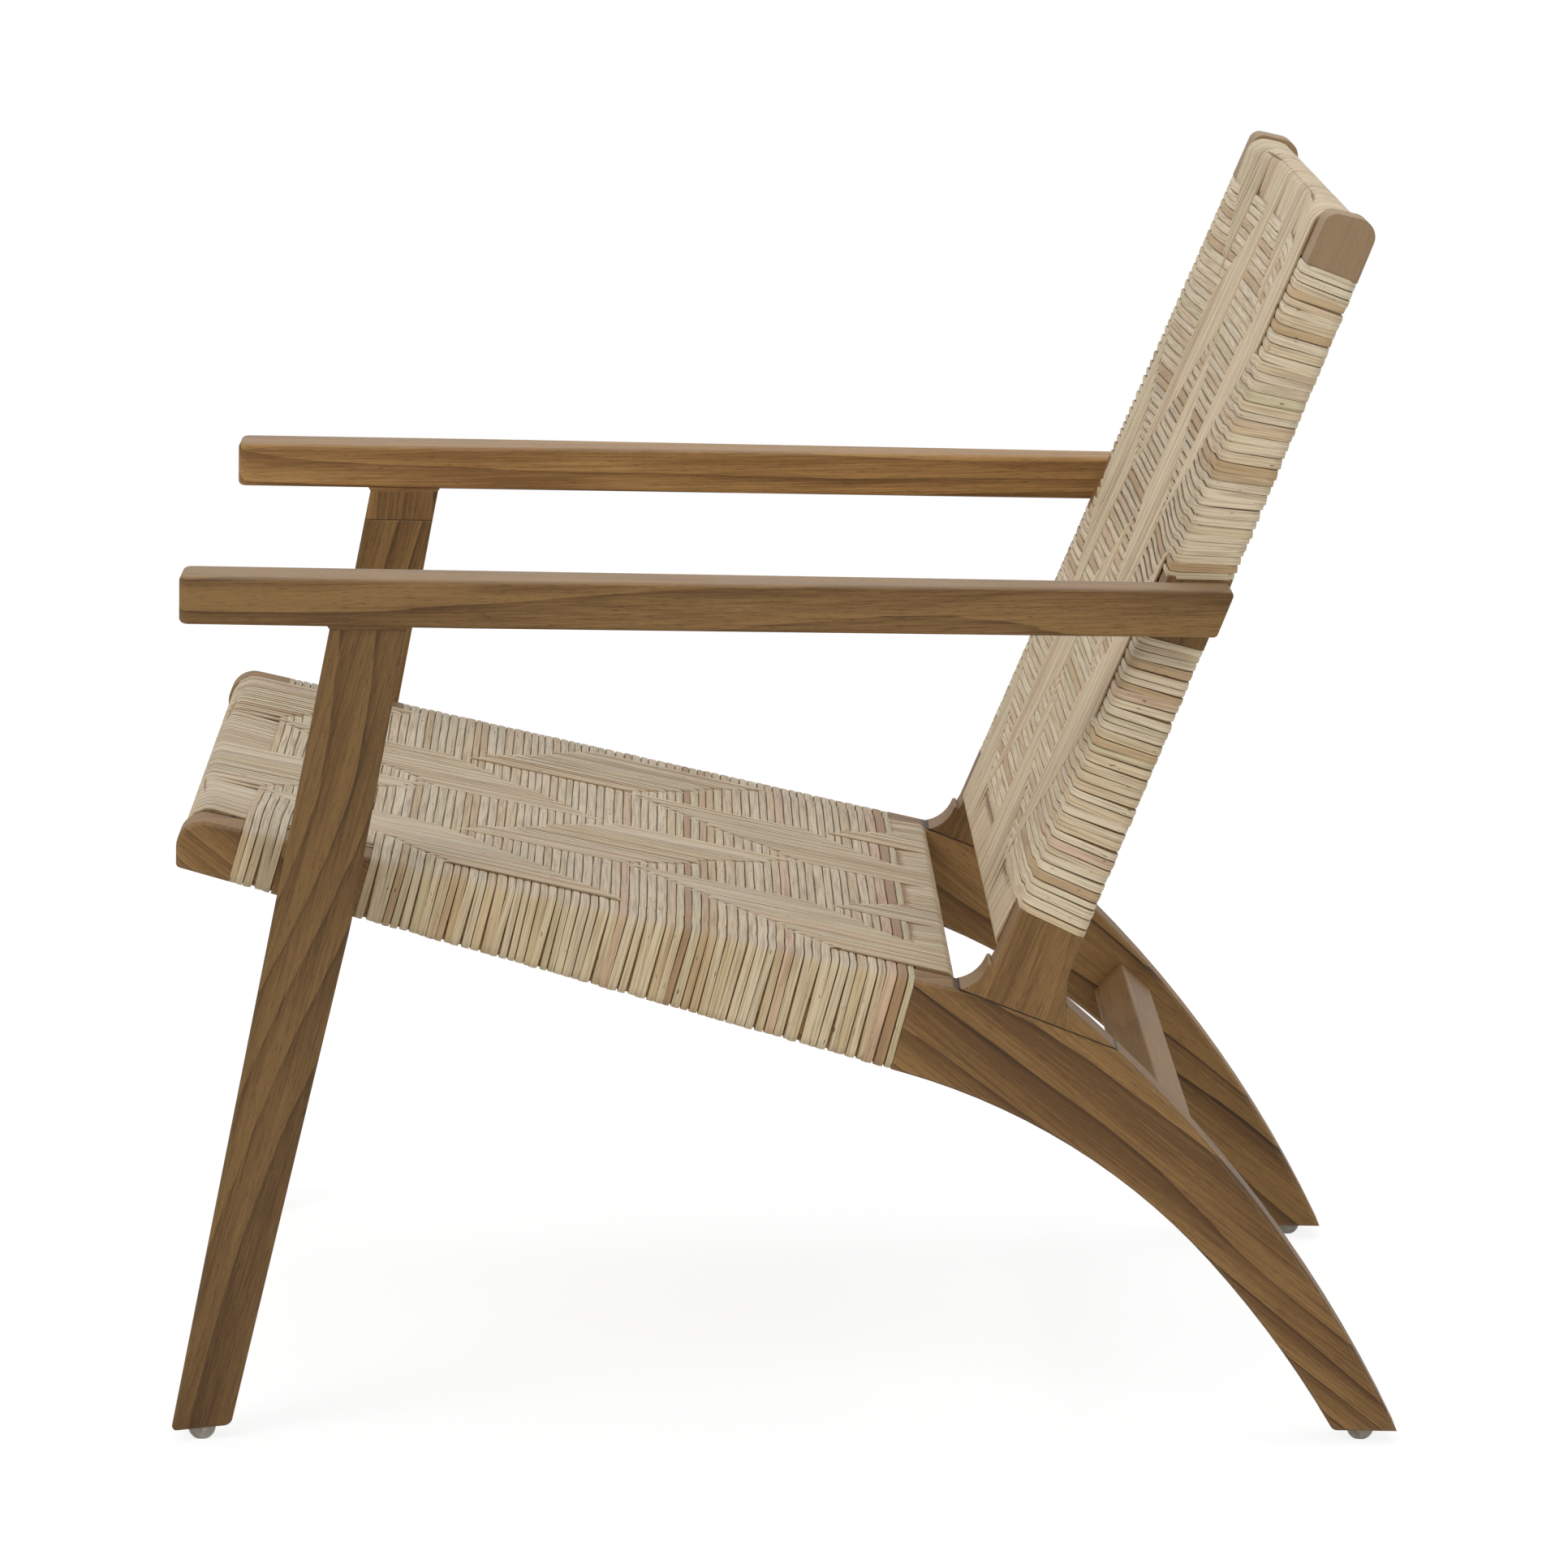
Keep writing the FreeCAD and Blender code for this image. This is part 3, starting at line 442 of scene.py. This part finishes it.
def roundedLoop(corners, radii, extras, arcSteps=4, clear=0.5):  # extras: (share, height) along each side
    points, normals, heights = [], [], []
    corners = [np.array(corner, float) for corner in corners]
    for k, here in enumerate(corners):
        ahead = corners[(k + 1) % len(corners)]
        length = np.linalg.norm(ahead - here)
        toBack, toAhead = corners[k - 1] - here, (ahead - here) / length
        toBack = toBack / np.linalg.norm(toBack)
        half = 0.5 * np.arccos(np.clip(toBack @ toAhead, -1, 1))
        middle = (toBack + toAhead) / np.linalg.norm(toBack + toAhead)
        centre = here + middle * radii[k] / sin(half)
        reach = radii[k] / tan(half)
        first, last = here + toBack * reach - centre, here + toAhead * reach - centre
        for share in np.linspace(0, 1, arcSteps + 1):
            arm = first * (1 - share) + last * share
            arm = arm / np.linalg.norm(arm)
            points.append(centre + arm * radii[k])
            normals.append(arm)
            heights.append(0.0)
        for share, height in extras[k]:
            if share * length > reach + clear:
                points.append(here + share * (ahead - here))
                normals.append(last / radii[k])
                heights.append(height)
    return np.array(points), np.array(normals), np.array(heights)


def wovenRun(places, start, end, levels):  # crossings as shares of a side, with a step where the level changes
    run = []
    for k, (where, level) in enumerate(zip(places, levels)):
        if k and levels[k - 1] != level:
            run.append(((places[k - 1] + where) / 2, (levels[k - 1] + level) / 2))
        run.append((where, level))
    return [((where - start) / (end - start), level) for where, level in run]


def smoothStep(value):
    value = np.clip(value, 0.0, 1.0)
    return value * value * (3 - 2 * value)


def hollowAt(x):  # the front edge of the seat and the top of the back dip between the sides
    facts = fieldFacts
    return facts["hollow"] * smoothStep((facts["hollowEnd"] - np.abs(x)) / (facts["hollowEnd"] - facts["hollowFlat"]))


def seatHollow(x, y):
    front, rear = seatFacts["frontY"], seatFacts["rearY"]
    return hollowAt(x) * np.clip((rear - y) / (rear - front), 0.0, 1.0)


def backHollow(x, z):
    low, high = backFacts["core"][0][1], backFacts["core"][1][1]
    return hollowAt(x) * np.clip((z - low) / (high - low), 0.0, 1.0)


def outerShare(depth):  # 1 on the outer face of a wound weft, 0 on its far side
    return smoothStep((depth + fieldFacts["hollowFade"]) / fieldFacts["hollowFade"])


def railTop(y):
    return seatFacts["tipTop"] + seatFacts["topSlope"] * (y - seatFacts["tipY"])


def railUnder(y):
    return seatFacts["tipUnder"] + seatFacts["underSlope"] * (y - seatFacts["tipY"])


def newBundle(name, count):
    return dict(name=name, count=count, made=0, points=[], faces=[], uvs=[], space=[], tone=[], size=0)


def weftBundle(name, zones):
    return newBundle(name, sum(count * (1 if wound else 2) for start, end, count, wound in zones))


def addStrand(bundle, points, normals, width, tone, chance, closed=True):
    facts = strandFacts
    n, m, base, row = len(points), len(facts["profile"]), bundle["size"], bundle["made"]
    profile, crown = np.array(facts["profile"]), np.array(facts["crown"])
    if closed:
        tangents = np.roll(points, -1, 0) - np.roll(points, 1, 0)
    else:
        tangents = np.gradient(points, axis=0)
    tangents /= np.linalg.norm(tangents, axis=1)[:, None]
    side = np.cross(tangents, normals)
    side /= np.linalg.norm(side, axis=1)[:, None]
    normals = np.cross(side, tangents)
    steps = np.linalg.norm(np.diff(points, axis=0, append=points[:1]), axis=1)
    along = np.concatenate([[0.0], np.cumsum(steps)])
    wave = sum(np.sin(2 * pi * k * along[:n] / along[-1] + chance.uniform(0, 6.28)) for k in (5, 9, 14)) / 3
    rise = chance.uniform(-facts["rise"], facts["rise"])
    points = points + side * (wave * facts["wobble"])[:, None] + normals * rise
    roll = radians(chance.uniform(-facts["roll"], facts["roll"]))
    flat, high = profile * width, crown * facts["thickness"]
    flat, high = flat * cos(roll) - high * sin(roll), high * cos(roll) + flat * sin(roll)
    ring = points[:, None, :] + side[:, None, :] * flat[None, :, None] + normals[:, None, :] * high[None, :, None]
    bundle["points"].append(ring.reshape(-1, 3) * toMetres)
    space = np.zeros((n, m, 3))  # along the strand, across it, and a step from strand to strand
    space[:, :, 0] = along[:n, None] * toMetres
    space[:, :, 1] = profile[None, :] * facts["pitch"] * toMetres
    space[:, :, 2] = row * 0.37
    bundle["space"].append(space.reshape(-1, 3))
    bundle["tone"].append(np.full(n * m, tone))
    k, j = np.meshgrid(np.arange(n if closed else n - 1), np.arange(m), indexing="ij")
    k, j = k.ravel(), j.ravel()
    nextK, nextJ = (k + 1) % n, (j + 1) % m
    quads = np.stack([k * m + j, k * m + nextJ, nextK * m + nextJ, nextK * m + j], 1) + base
    bundle["faces"] += quads.tolist()
    u0, u1 = along[k] / along[-1], along[k + 1] / along[-1]
    v0, v1 = ((row + 0.04 + 0.92 * edge / m) / bundle["count"] for edge in (j, j + 1))  # one band for each strand
    bundle["uvs"].append(np.stack([u0, v0, u0, v1, u1, v1, u1, v0], 1).reshape(-1, 2))
    if not closed:
        bundle["faces"] += [[base + j for j in range(m)][::-1], [base + (n - 1) * m + j for j in range(m)]]
        bundle["uvs"].append(np.full((2 * m, 2), (row + 0.02) / bundle["count"]))
    bundle["size"] += n * m
    bundle["made"] += 1


def finishBundle(bundle, material, stands):
    mesh = bpy.data.meshes.new(bundle["name"])
    mesh.from_pydata(np.concatenate(bundle["points"]).tolist(), [], bundle["faces"])
    mesh.uv_layers.new(name="OFBake").data.foreach_set("uv", np.concatenate(bundle["uvs"]).astype(np.float32).ravel())
    space = mesh.attributes.new("strandSpace", "FLOAT_VECTOR", "POINT")
    space.data.foreach_set("vector", np.concatenate(bundle["space"]).astype(np.float32).ravel())
    tone = mesh.attributes.new("strandTone", "FLOAT", "POINT")
    tone.data.foreach_set("value", np.concatenate(bundle["tone"]).astype(np.float32))
    mesh.polygons.foreach_set("use_smooth", [True] * len(mesh.polygons))
    points = len(strandFacts["profile"])
    ends = np.zeros(len(mesh.edges) * 2, np.int32)
    mesh.edges.foreach_get("vertices", ends)
    ends = ends.reshape(-1, 2) % points
    crisp = (ends[:, 0] == ends[:, 1]) & (ends[:, 0] != points // 2)  # every edge along the strand but its ridge
    mesh.attributes.new("sharp_edge", "BOOLEAN", "EDGE").data.foreach_set("value", crisp)
    mesh.materials.append(material)
    piece = bpy.data.objects.new(bundle["name"], mesh)
    bpy.context.scene.collection.objects.link(piece)
    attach(piece, "root")
    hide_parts(stands)
    print(bundle["name"], bundle["made"], "strands,", len(mesh.polygons), "faces")


warpPlaces, warpWidths = strandWidths(unevenSteps(-fieldFacts["halfWarps"], fieldFacts["halfWarps"],
                                                  fieldFacts["warps"], random.Random(20)))
warpPlaces = np.array(warpPlaces)
weftPlaces, backPlaces = [], []  # filled as the wefts are made, and read by the warps


def acrossRun(weft, sign, over, under, reach):  # one run of a weft past all the warps, as (share, height)
    places = list(warpPlaces)
    levels = [under if warpOver(warp, weft) else over for warp in range(len(places))]
    if reach > fieldFacts["halfInner"]:
        inner, outer = fieldFacts["shoulders"]
        places = [-outer, -inner] + places + [inner, outer]
        levels = [0.0, 0.0] + levels + [0.0, 0.0]
    if sign < 0:
        places, levels = places[::-1], levels[::-1]
    return wovenRun(places, -sign * reach, sign * reach, levels)


def woundWeft(seat, lean, drop, radii, outer, inner):  # a loop round both boards or both posts
    reach = fieldFacts["halfBoards"]
    loop, normals, heights = roundedLoop([(-reach, -drop), (-reach, 0), (reach, 0), (reach, -drop)], radii,
                                         [[(0.5, 0.0)], outer, [(0.5, 0.0)], inner])
    normals = normals[:, :1] * acrossChair + normals[:, 1:] * lean
    points = seat + loop[:, :1] * acrossChair + loop[:, 1:] * lean + normals * heights[:, None]
    return points, normals, loop[:, 1]


def flatWeft(seat, lean, run, sign=1, level=0.0):  # a run that stays between the boards or posts
    reach = fieldFacts["halfInner"]
    x = np.array([sign * (share * 2 * reach - reach) for share, height in run])
    lift = np.array([height for share, height in run]) * sign + level
    points = seat + x[:, None] * acrossChair + lift[:, None] * lean
    return points, np.tile(lean * sign, (len(x), 1))


def makeSeatWefts():  # behind the front legs' tops they run only between the boards
    facts, chance = seatFacts, random.Random(31)
    over, whole, between = fieldFacts["over"], fieldFacts["halfBoards"], fieldFacts["halfInner"]
    bundle = weftBundle("seatWeftStrands", facts["wraps"])
    lean = np.array([0.0, sin(facts["tilt"]), cos(facts["tilt"])])
    under = [(share, 0.0) for share in (0.2, 0.4, 0.6, 0.8, 0.97)]
    for start, end, count, wound in facts["wraps"]:
        for y, width in zip(*strandWidths(unevenSteps(start, end, count, chance))):
            weft = len(weftPlaces)
            weftPlaces.append(y)
            drop = (railTop(y) - railUnder(y)) / (lean[2] - facts["underSlope"] * lean[1])
            top = np.array([0.0, y, railTop(y)])
            tone = chance.random()
            if wound:
                corner = fieldFacts["corner"] + chance.uniform(*facts["cornerSpread"])
                points, normals, depth = woundWeft(top, lean, drop, [corner] * 4,
                                                   acrossRun(weft, 1, over, 0.0, whole), under)
                points[:, 2] -= seatHollow(points[:, 0], points[:, 1]) * outerShare(depth)
                points[:, 1] += chance.uniform(-facts["slant"], facts["slant"]) * depth / drop
                addStrand(bundle, points, normals, width, tone, chance)
            else:
                points, normals = flatWeft(top, lean, acrossRun(weft, 1, over, 0.0, between))
                points[:, 2] -= seatHollow(points[:, 0], points[:, 1])
                addStrand(bundle, points, normals, width, tone, chance, closed=False)
                x = np.linspace(between, -between, 9)
                points = top - drop * lean + x[:, None] * acrossChair
                addStrand(bundle, points, np.tile(-lean, (len(x), 1)), width, tone, chance, closed=False)
    return bundle


def ontoFace(point, out, foot, slope):  # slides a point along out until it lies on the sloping face
    shift = point[0] - (foot[0] + (point[1] - foot[1]) / slope)
    return point - out * shift / (out[0] - out[1] / slope)


def makeBackWefts():  # behind the arms they run only between the posts, and both faces are woven
    facts, chance = backFacts, random.Random(59)
    over, whole, between = fieldFacts["over"], fieldFacts["halfBoards"], fieldFacts["halfInner"]
    bundle = weftBundle("backWeftStrands", facts["wraps"])
    for start, end, count, wound in facts["wraps"]:
        for share, width in zip(*strandWidths(unevenSteps(0.0, 1.0, count, chance))):
            weft = len(backPlaces)
            front, rear = (np.array(start[k]) * (1 - share) + np.array(end[k]) * share for k in (0, 1))
            length = hypot(end[0][0] - start[0][0], end[0][1] - start[0][1])
            width = (width + strandFacts["gap"]) * length - strandFacts["gap"]
            out = (front - rear) / np.linalg.norm(front - rear)
            front = ontoFace(front, out, facts["frontFoot"], facts["frontSlope"])
            rear = ontoFace(rear, out, facts["rearFoot"], facts["rearSlope"])
            backPlaces.append((front, rear))
            depth = np.linalg.norm(front - rear)
            foot, lean = np.array([0.0, *front]), np.array([0.0, *out])
            tone = chance.random()
            if wound:
                corner = fieldFacts["corner"] + chance.uniform(*facts["cornerSpread"])
                points, normals, inward = woundWeft(
                    foot, lean, depth, [fieldFacts["corner"], corner, corner, fieldFacts["corner"]],
                    acrossRun(weft, 1, over, 0.0, whole), acrossRun(weft, -1, 0.0, -over, whole))
                points[:, 1] += backHollow(points[:, 0], points[:, 2]) * outerShare(inward)
                points[:, 2] += chance.uniform(-facts["slant"], facts["slant"]) * inward / depth
                addStrand(bundle, points, normals, width, tone, chance)
            else:
                for sign, high, low, level in ((1, over, 0.0, 0.0), (-1, 0.0, -over, -depth)):
                    points, normals = flatWeft(foot, lean, acrossRun(weft, sign, high, low, between), sign, level)
                    if sign > 0:
                        points[:, 1] += backHollow(points[:, 0], points[:, 2])
                    addStrand(bundle, points, normals, width, tone, chance, closed=False)
    return bundle


def addWarp(bundle, x, width, corners, radii, extras, chance):  # a loop lengthways, round the cross rails
    loop, normals, heights = roundedLoop(corners, radii, extras)
    heights = heights + strandFacts["thickness"] / 2
    points = np.concatenate([np.full((len(loop), 1), x), loop + normals * heights[:, None]], 1)
    normals = np.concatenate([np.zeros((len(loop), 1)), normals], 1)
    addStrand(bundle, points, normals, width, chance.random(), chance)


def makeSeatWarps():
    bundle, chance = newBundle("seatWarpStrands", len(warpPlaces)), random.Random(47)
    facts, over = seatFacts, fieldFacts["over"]
    front, rear = facts["frontY"], facts["rearY"]
    lowFront, topFront, topRear, lowRear = facts["radii"]
    under = [(share, 0.0) for share in (0.25, 0.5, 0.75, 0.975)]
    for warp, (x, width) in enumerate(zip(warpPlaces, warpWidths)):
        dip = float(hollowAt(x))
        frontTop, rearTop = railTop(front) + facts["lift"] - dip, railTop(rear) + facts["lift"]
        corners = [(front, frontTop + dip - facts["frontHeight"]), (front, frontTop), (rear, rearTop),
                   (rear, rearTop - facts["rearHeight"])]
        radii = [lowFront, topFront - dip * facts["tightening"], topRear, lowRear]
        levels = [0.0 if warpOver(warp, weft) else -over for weft in range(len(weftPlaces))]
        top = wovenRun(weftPlaces, front, rear, levels)
        addWarp(bundle, x, width, corners, radii, [[], top, [], under], chance)
    return bundle


def makeBackWarps():
    bundle, chance = newBundle("backWarpStrands", len(warpPlaces)), random.Random(61)
    facts, core, over = backFacts, backFacts["core"], fieldFacts["over"]
    lowFront, topFront, topRear, lowRear = facts["radii"]
    for warp, (x, width) in enumerate(zip(warpPlaces, warpWidths)):
        dip = float(hollowAt(x))
        crest = (core[1][0] + dip, core[1][1] + facts["crownSlope"] * dip)
        radii = [lowFront, topFront - dip * facts["tightening"], topRear, lowRear]
        overs = [warpOver(warp, weft) for weft in range(len(backPlaces))]
        front = wovenRun([p[0][1] for p in backPlaces], core[0][1], crest[1], [0.0 if o else -over for o in overs])
        rear = wovenRun([p[1][1] for p in backPlaces][::-1], core[2][1], core[3][1],
                        [over if o else 0.0 for o in overs][::-1])
        addWarp(bundle, x, width, [core[0], crest, core[2], core[3]], radii, [front, [], rear, []], chance)
    return bundle


rattanSeat, rattanBack = rattanMaterial("rattanSeat"), rattanMaterial("rattanBack")
finishBundle(makeSeatWefts(), rattanSeat, "seat_wefts")
finishBundle(makeSeatWarps(), rattanSeat, "seat_warps")
finishBundle(makeBackWefts(), rattanBack, "back_wefts")
finishBundle(makeBackWarps(), rattanBack, "back_warps")


# Small parts: loose tenons, screws and floor glides.
looseTenons = dict(seeds={"arm_leg_tenons": 31.0, "arm_post_tenons": 32.0},
                   grain=None, streaks=0.2, figure=0.2, topSheen=0.0)
screws = dict(material="screwSteel", dark=tint(120, 118, 112), light=tint(168, 166, 160), scale=240.0, rough=0.35,
              metal=1.0)
glides = dict(dark=tint(128, 120, 108), light=tint(176, 170, 158), scale=260.0, rough=0.4, metal=0.0)


def mottled(name, facts):
    material, tree, shader = newMaterial(name)
    where = place(tree, "ShaderNodeTexCoord", (-900, 0)).outputs["Object"]
    cloud = place(tree, "ShaderNodeTexNoise", (-600, 0),
                  {"Vector": where, "Scale": facts["scale"], "Detail": 4.0}).outputs["Fac"]
    mask = ramp(tree, (-350, 0), cloud, [(0.3, grey(0)), (0.7, grey(1))])
    colour = mixColour(tree, (0, 0), mask, facts["dark"], facts["light"])
    roughness = maths(tree, (0, -200), "MULTIPLY_ADD", cloud, 0.2, facts["rough"])
    bump = place(tree, "ShaderNodeBump", (600, -300), {"Height": cloud, "Strength": 0.2, "Distance": 0.0004})
    tree.links.new(colour, shader.inputs["Base Color"])
    tree.links.new(roughness, shader.inputs["Roughness"])
    tree.links.new(bump.outputs[0], shader.inputs["Normal"])
    shader.inputs["Metallic"].default_value = facts["metal"]
    return material


for name, seed in looseTenons["seeds"].items():
    dress(name, woodMaterial(name, looseTenons, seed))
dress("leg_screws", mottled(screws["material"], screws))
for name in ("front_glides", "rear_glides"):
    dress(name, mottled(name, glides))
print("small parts dressed")


# Floor, light and camera. The floor glows for the camera only and lights the chair as plain pale paint.
studio = dict(floorRadius=3.6, floorSides=64, floorGlow=0.86, floorPaint=0.2, floorLit=0.8, ambient=0.5,
              aim=(0.0, 0.0, 0.4),
              lamps=(("key", (4.4, -3.9, 5.4), 4.0, 198.0), ("fill", (5.8, 4.2, 3.2), 3.6, 72.0),
                     ("over", (-0.8, 0.4, 5.2), 4.2, 104.0)))
view = dict(place=(4.45767, -0.094, 1.18770), turn=(79.4997, -1.0844, 89.0401), lens=159.667, sensor=36.0, far=120.0)


def seenBackground(tree):  # 1 for what the camera sees, straight or in gloss and glass
    rays = place(tree, "ShaderNodeLightPath", (-800, 200)).outputs
    seen = maths(tree, (-600, 200), "ADD", rays["Is Camera Ray"], rays["Is Glossy Ray"])
    return maths(tree, (-450, 200), "ADD", seen, rays["Is Transmission Ray"], clamp=True)


def paleFloor():
    count, radius = studio["floorSides"], studio["floorRadius"]
    points = [(0.0, 0.0, 0.0)] + [(radius * cos(2 * pi * k / count), radius * sin(2 * pi * k / count), 0.0)
                                  for k in range(count)]
    mesh = bpy.data.meshes.new("paleFloor")
    mesh.from_pydata(points, [], [(0, k + 1, (k + 1) % count + 1) for k in range(count)])
    floor = bpy.data.objects.new("paleFloor", mesh)
    bpy.context.scene.collection.objects.link(floor)
    material = bpy.data.materials.new("paleFloor")
    material.use_nodes = True
    tree = material.node_tree
    tree.nodes.clear()
    seen = seenBackground(tree)
    paint = place(tree, "ShaderNodeBsdfDiffuse", (-200, 0), {"Color": grey(studio["floorLit"])})
    thin = place(tree, "ShaderNodeBsdfDiffuse", (-200, -150), {"Color": grey(studio["floorPaint"])})
    glow = place(tree, "ShaderNodeEmission", (-200, -300), {"Color": grey(1.0), "Strength": studio["floorGlow"]})
    both = place(tree, "ShaderNodeAddShader", (50, -200), {0: thin.outputs[0], 1: glow.outputs[0]})
    choice = place(tree, "ShaderNodeMixShader", (300, 0), {0: seen, 1: paint.outputs[0], 2: both.outputs[0]})
    output = place(tree, "ShaderNodeOutputMaterial", (600, 0))
    tree.links.new(choice.outputs[0], output.inputs[0])
    mesh.materials.append(material)


def whiteWorld():
    world = bpy.data.worlds.new("whiteWorld")
    bpy.context.scene.world = world
    world.use_nodes = True
    tree = world.node_tree
    tree.nodes.clear()
    seen = seenBackground(tree)
    plain = place(tree, "ShaderNodeBackground", (-200, 100), {"Color": grey(1.0), "Strength": 1.0})
    soft = place(tree, "ShaderNodeBackground", (-200, -100), {"Color": grey(1.0), "Strength": studio["ambient"]})
    choice = place(tree, "ShaderNodeMixShader", (100, 0), {0: seen, 1: soft.outputs[0], 2: plain.outputs[0]})
    output = place(tree, "ShaderNodeOutputWorld", (400, 0))
    tree.links.new(choice.outputs[0], output.inputs[0])


def softLamps():
    for name, where, size, power in studio["lamps"]:
        lamp = bpy.data.lights.new(name, "AREA")
        lamp.shape, lamp.size, lamp.energy = "DISK", size, power
        piece = bpy.data.objects.new(name, lamp)
        piece.location = where
        aim = np.array(studio["aim"]) - np.array(where)
        flat = hypot(aim[0], aim[1])
        piece.rotation_euler = (pi / 2 + atan2(aim[2], flat), 0.0, atan2(aim[1], aim[0]) - pi / 2)
        bpy.context.scene.collection.objects.link(piece)


def setCamera():
    camera = bpy.data.cameras.new("camera")
    camera.lens, camera.sensor_width, camera.sensor_fit = view["lens"], view["sensor"], "HORIZONTAL"
    camera.clip_end = view["far"]
    holder = bpy.data.objects.new("camera", camera)
    holder.location = view["place"]
    holder.rotation_euler = Euler([radians(a) for a in view["turn"]])
    bpy.context.scene.collection.objects.link(holder)
    bpy.context.scene.camera = holder


paleFloor()
whiteWorld()
softLamps()
setCamera()
bpy.context.scene.view_settings.view_transform = "Standard"
print("floor, light and camera set")
